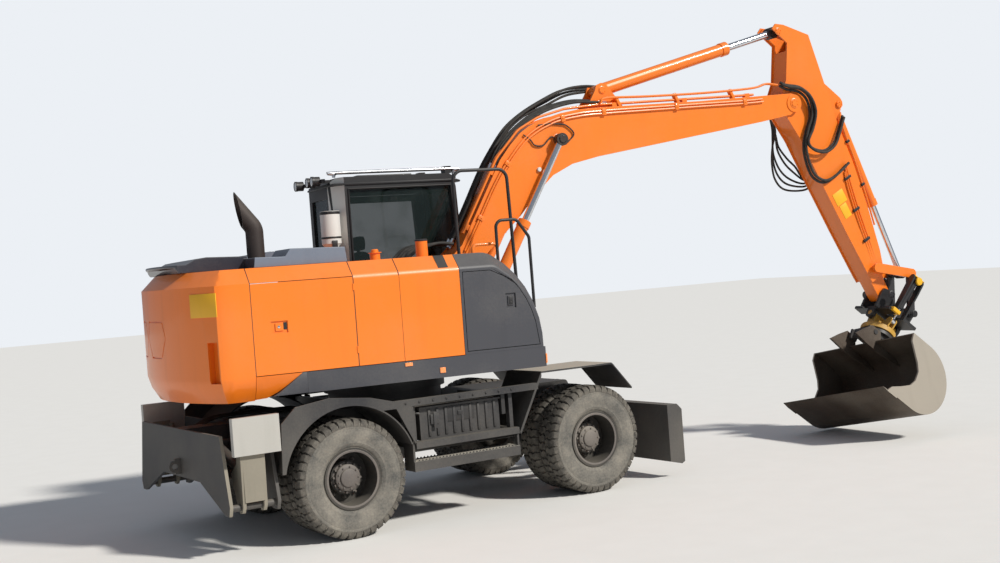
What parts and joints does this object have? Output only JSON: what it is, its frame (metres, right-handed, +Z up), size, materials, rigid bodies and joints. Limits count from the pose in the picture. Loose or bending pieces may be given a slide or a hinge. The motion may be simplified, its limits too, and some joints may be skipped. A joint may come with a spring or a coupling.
{
  "type": "wheeled excavator with tilting bucket",
  "caption": "Wheeled excavator with a one-piece boom, arm, tilting and turning bucket, twin tyres, front blade and rear stabiliser legs.",
  "frame": {"origin": "centre of the overall bounding box on the ground plane under the tyres", "axes": "+X towards the front of the chassis, +Y to its left, +Z up"},
  "size_m": [9.0695, 3.1981, 4.8395],
  "materials": {
    "orange_paint": "gloss",
    "dark_paint": "satin",
    "grey_paint": "satin",
    "cover_blue_grey": "satin",
    "rim_paint": "satin",
    "tyre": "matte",
    "bare_steel": "polished",
    "glass": "clear",
    "storage_plastic": "matte",
    "seat": "matte",
    "cast_engine": "rough",
    "bucket_steel": "worn",
    "tilt_yellow": "satin",
    "leg_paint": "worn",
    "exhaust_steel": "worn"
  },
  "bodies": {
    "undercarriage": {"chassis_frame": "dark_paint", "front_axle": "dark_paint", "rear_axle": "dark_paint", "mudguards": "grey_paint", "side_steps": "grey_paint", "stabiliser_beam": "grey_paint"},
    "knuckle_left": {"knuckle_left": "dark_paint"},
    "knuckle_right": {"knuckle_right": "dark_paint"},
    "wheels_front_left": {"tyres_fl": "tyre", "rims_fl": "rim_paint"},
    "wheels_front_right": {"tyres_fr": "tyre", "rims_fr": "rim_paint"},
    "wheels_rear_left": {"tyres_rl": "tyre", "rims_rl": "rim_paint"},
    "wheels_rear_right": {"tyres_rr": "tyre", "rims_rr": "rim_paint"},
    "blade": {"blade": "grey_paint"},
    "blade_barrels": {"blade_barrels": "dark_paint"},
    "blade_rods": {"blade_rods": "bare_steel"},
    "leg_left": {"stabiliser_leg_left": "leg_paint"},
    "leg_right": {"stabiliser_leg_right": "leg_paint"},
    "leg_barrel_left": {"stabiliser_barrel_left": "dark_paint"},
    "leg_barrel_right": {"stabiliser_barrel_right": "dark_paint"},
    "leg_rod_left": {"stabiliser_rod_left": "bare_steel"},
    "leg_rod_right": {"stabiliser_rod_right": "bare_steel"},
    "upper": {"revolving_frame": "dark_paint", "counterweight": "orange_paint", "body_panels": "orange_paint", "engine_block": "cast_engine", "storage_box": "storage_plastic", "cab_shell": "dark_paint", "cab_glass": "glass", "operator_seat": "seat", "handrails": "dark_paint", "deck_cover": "cover_blue_grey", "exhaust": "exhaust_steel"},
    "engine_hood": {"engine_hood": "cover_blue_grey"},
    "service_door_right": {"service_door_right": "orange_paint"},
    "service_door_left": {"service_door_left": "orange_paint"},
    "storage_lid": {"storage_lid": "storage_plastic"},
    "cab_door": {"cab_door": "dark_paint"},
    "boom": {"boom": "orange_paint", "boom_pipes": "orange_paint"},
    "boom_barrels": {"boom_barrels": "orange_paint"},
    "boom_rods": {"boom_rods": "bare_steel"},
    "arm": {"arm": "orange_paint"},
    "arm_barrel": {"arm_barrel": "orange_paint"},
    "arm_rod": {"arm_rod": "bare_steel"},
    "bucket_barrel": {"bucket_barrel": "orange_paint"},
    "bucket_rod": {"bucket_rod": "bare_steel"},
    "rocker": {"rocker": "orange_paint"},
    "bucket_link": {"bucket_link": "grey_paint"},
    "coupler": {"coupler": "dark_paint"},
    "tilt_barrel_left": {"tilt_barrel_left": "grey_paint"},
    "tilt_barrel_right": {"tilt_barrel_right": "grey_paint"},
    "tilt_rod_left": {"tilt_rod_left": "bare_steel"},
    "tilt_rod_right": {"tilt_rod_right": "bare_steel"},
    "tilt_frame": {"tilt_frame": "tilt_yellow"},
    "bucket": {"rotor_hitch": "dark_paint", "bucket": "bucket_steel"}
  },
  "joints": [
    {"name": "steer_left", "type": "hinge", "parent": "undercarriage", "child": "knuckle_left", "pos_m": [-0.622, 0.913, 0.53], "axis": [0, 0, 1], "range_deg": [-25, 25]},
    {"name": "steer_right", "type": "hinge", "parent": "undercarriage", "child": "knuckle_right", "pos_m": [-0.622, -0.607, 0.53], "axis": [0, 0, 1], "range_deg": [-26, 26]},
    {"name": "wheel_spin_front_left", "type": "hinge", "parent": "knuckle_left", "child": "wheels_front_left", "pos_m": [-0.622, 1.105, 0.53], "axis": [0, 1, 0], "continuous": true},
    {"name": "wheel_spin_front_right", "type": "hinge", "parent": "knuckle_right", "child": "wheels_front_right", "pos_m": [-0.622, -0.799, 0.53], "axis": [0, 1, 0], "continuous": true},
    {"name": "wheel_spin_rear_left", "type": "hinge", "parent": "undercarriage", "child": "wheels_rear_left", "pos_m": [-3.272, 1.105, 0.53], "axis": [0, 1, 0], "continuous": true},
    {"name": "wheel_spin_rear_right", "type": "hinge", "parent": "undercarriage", "child": "wheels_rear_right", "pos_m": [-3.272, -0.799, 0.53], "axis": [0, 1, 0], "continuous": true},
    {"name": "blade_lift", "type": "hinge", "parent": "undercarriage", "child": "blade", "pos_m": [-0.195, 0.153, 0.48], "axis": [0, -1, 0], "range_deg": [-15, 35]},
    {"name": "blade_barrel_turn", "type": "hinge", "parent": "undercarriage", "child": "blade_barrels", "pos_m": [-0.285, 0.153, 1], "axis": [0, -1, 0], "range_deg": [-6.7, 14.3]},
    {"name": "blade_rod_slide", "type": "slide", "parent": "blade_barrels", "child": "blade_rods", "axis": [0.6519, 0, -0.7583], "range_m": [-0.19, 0.0843]},
    {"name": "leg_left_swing", "type": "hinge", "parent": "undercarriage", "child": "leg_left", "pos_m": [-4.175, 1.283, 0.43], "axis": [-1, 0, 0], "range_deg": [0, 129]},
    {"name": "leg_left_barrel_turn", "type": "hinge", "parent": "undercarriage", "child": "leg_barrel_left", "pos_m": [-4.175, 0.453, 0.9], "axis": [-1, 0, 0], "range_deg": [-1, 4.95]},
    {"name": "leg_left_rod_slide", "type": "slide", "parent": "leg_barrel_left", "child": "leg_rod_left", "axis": [0, 0.9568, -0.2907], "range_m": [-0.005, 0.5314]},
    {"name": "leg_right_swing", "type": "hinge", "parent": "undercarriage", "child": "leg_right", "pos_m": [-4.175, -0.977, 0.43], "axis": [1, 0, 0], "range_deg": [0, 129]},
    {"name": "leg_right_barrel_turn", "type": "hinge", "parent": "undercarriage", "child": "leg_barrel_right", "pos_m": [-4.175, -0.147, 0.9], "axis": [1, 0, 0], "range_deg": [-1, 4.95]},
    {"name": "leg_right_rod_slide", "type": "slide", "parent": "leg_barrel_right", "child": "leg_rod_right", "axis": [0, -0.9568, -0.2907], "range_m": [-0.005, 0.5314]},
    {"name": "swing", "type": "hinge", "parent": "undercarriage", "child": "upper", "pos_m": [-2.275, 0.153, 1.33], "axis": [0, 0, 1], "continuous": true},
    {"name": "engine_hood_open", "type": "hinge", "parent": "upper", "child": "engine_hood", "pos_m": [-2.91023, 0.231, 2.4523], "axis": [0.1219, 0.9925, 0], "range_deg": [0, 50]},
    {"name": "service_door_right_open", "type": "hinge", "parent": "upper", "child": "service_door_right", "pos_m": [-3.0925, -0.9909, 1.9], "axis": [0, 0, 1], "range_deg": [0, 95]},
    {"name": "service_door_left_open", "type": "hinge", "parent": "upper", "child": "service_door_left", "pos_m": [-3.71356, 1.57391, 1.9], "axis": [0, 0, 1], "range_deg": [0, 95]},
    {"name": "storage_lid_open", "type": "hinge", "parent": "upper", "child": "storage_lid", "pos_m": [-2.03048, -1.1213, 1.85], "axis": [0, 0, -1], "range_deg": [0, 100]},
    {"name": "cab_door_open", "type": "hinge", "parent": "upper", "child": "cab_door", "pos_m": [-2.22772, 1.39147, 2.3], "axis": [0, 0, 1], "range_deg": [0, 100]},
    {"name": "boom_lift", "type": "hinge", "parent": "upper", "child": "boom", "pos_m": [-1.87798, 0.10425, 1.95], "axis": [-0.1219, -0.9925, 0], "range_deg": [-55, 38]},
    {"name": "boom_barrel_turn", "type": "hinge", "parent": "upper", "child": "boom_barrels", "pos_m": [-1.43134, 0.04941, 1.53], "axis": [-0.1219, -0.9925, 0], "range_deg": [-55.08, 38.37]},
    {"name": "boom_rod_slide", "type": "slide", "parent": "boom_barrels", "child": "boom_rods", "axis": [0.5065, -0.0622, 0.86], "range_m": [-0.5499, 0.3815]},
    {"name": "arm_swing", "type": "hinge", "parent": "boom", "child": "arm", "pos_m": [2.85712, -0.47714, 3.91632], "axis": [0.1219, 0.9925, 0], "range_deg": [-38, 55]},
    {"name": "arm_barrel_turn", "type": "hinge", "parent": "boom", "child": "arm_barrel", "pos_m": [0.38767, -0.17394, 4.10333], "axis": [0.1219, 0.9925, 0], "range_deg": [-4.54, 6.12]},
    {"name": "arm_rod_slide", "type": "slide", "parent": "arm_barrel", "child": "arm_rod", "axis": [0.9571, -0.1175, 0.2649], "range_m": [-0.5133, 0.7406]},
    {"name": "bucket_curl", "type": "hinge", "parent": "arm", "child": "coupler", "pos_m": [4.05976, -0.62481, 1.61818], "axis": [0.1219, 0.9925, 0], "range_deg": [-95, 65]},
    {"name": "rocker_turn", "type": "hinge", "parent": "arm", "child": "rocker", "pos_m": [3.89416, -0.60448, 1.94963], "axis": [0.1219, 0.9925, 0], "range_deg": [-66.63, 45.91]},
    {"name": "link_turn", "type": "hinge", "parent": "coupler", "child": "bucket_link", "pos_m": [4.38826, -0.66514, 1.3596], "axis": [0.1219, 0.9925, 0], "range_deg": [-43.02, 62.42]},
    {"name": "bucket_barrel_turn", "type": "hinge", "parent": "arm", "child": "bucket_barrel", "pos_m": [3.56995, -0.56467, 3.90497], "axis": [0.1219, 0.9925, 0], "range_deg": [-7.18, 5.23]},
    {"name": "bucket_rod_slide", "type": "slide", "parent": "bucket_barrel", "child": "bucket_rod", "axis": [0.3776, -0.0464, -0.9248], "range_m": [-0.5237, 0.3599]},
    {"name": "bucket_tilt", "type": "hinge", "parent": "coupler", "child": "tilt_frame", "pos_m": [4.07124, -0.62622, 1.29189], "axis": [-0.7821, 0.096, 0.6157], "range_deg": [-52, 28]},
    {"name": "tilt_left_barrel_turn", "type": "hinge", "parent": "coupler", "child": "tilt_barrel_left", "pos_m": [4.43681, -0.39908, 1.75337], "axis": [-0.7821, 0.096, 0.6157], "range_deg": [-2.83, 1.99]},
    {"name": "tilt_left_rod_slide", "type": "slide", "parent": "tilt_barrel_left", "child": "tilt_rod_left", "axis": [-0.6216, -0.0519, -0.7816], "range_m": [-0.1816, 0.1001]},
    {"name": "tilt_right_barrel_turn", "type": "hinge", "parent": "coupler", "child": "tilt_barrel_right", "pos_m": [4.371, -0.93505, 1.75337], "axis": [-0.7821, 0.096, 0.6157], "range_deg": [-3.72, 2.46]},
    {"name": "tilt_right_rod_slide", "type": "slide", "parent": "tilt_barrel_right", "child": "tilt_rod_right", "axis": [-0.5939, 0.1839, -0.7832], "range_m": [-0.0992, 0.18]},
    {"name": "bucket_rotate", "type": "hinge", "parent": "tilt_frame", "child": "bucket", "pos_m": [3.94663, -0.65281, 1.13773], "axis": [0.6231, 0.133, 0.7708], "continuous": true}
  ],
  "couplings": [
    {"joint": "steer_right", "follows": "steer_left", "ratio": 1},
    {"joint": "blade_barrel_turn", "follows": "blade_lift", "ratio": 0.38003},
    {"joint": "blade_rod_slide", "follows": "blade_lift", "m_per_rad": -0.3029},
    {"joint": "leg_left_barrel_turn", "follows": "leg_left_swing", "ratio": 0.03061},
    {"joint": "leg_left_rod_slide", "follows": "leg_left_swing", "m_per_rad": 0.2338},
    {"joint": "leg_right_barrel_turn", "follows": "leg_right_swing", "ratio": 0.03061},
    {"joint": "leg_right_rod_slide", "follows": "leg_right_swing", "m_per_rad": 0.2338},
    {"joint": "boom_barrel_turn", "follows": "boom_lift", "ratio": 0.98329},
    {"joint": "boom_rod_slide", "follows": "boom_lift", "m_per_rad": 0.56762},
    {"joint": "arm_barrel_turn", "follows": "arm_swing", "ratio": 0.09318},
    {"joint": "arm_rod_slide", "follows": "arm_swing", "m_per_rad": 0.76634},
    {"joint": "rocker_turn", "follows": "bucket_curl", "ratio": 0.69084},
    {"joint": "link_turn", "follows": "bucket_curl", "ratio": -0.64652},
    {"joint": "bucket_barrel_turn", "follows": "bucket_curl", "ratio": 0.06507},
    {"joint": "bucket_rod_slide", "follows": "bucket_curl", "m_per_rad": 0.31284},
    {"joint": "tilt_left_barrel_turn", "follows": "bucket_tilt", "ratio": 0.03524},
    {"joint": "tilt_left_rod_slide", "follows": "bucket_tilt", "m_per_rad": 0.1946},
    {"joint": "tilt_right_barrel_turn", "follows": "bucket_tilt", "ratio": 0.05223},
    {"joint": "tilt_right_rod_slide", "follows": "bucket_tilt", "m_per_rad": -0.19281}
  ]
}
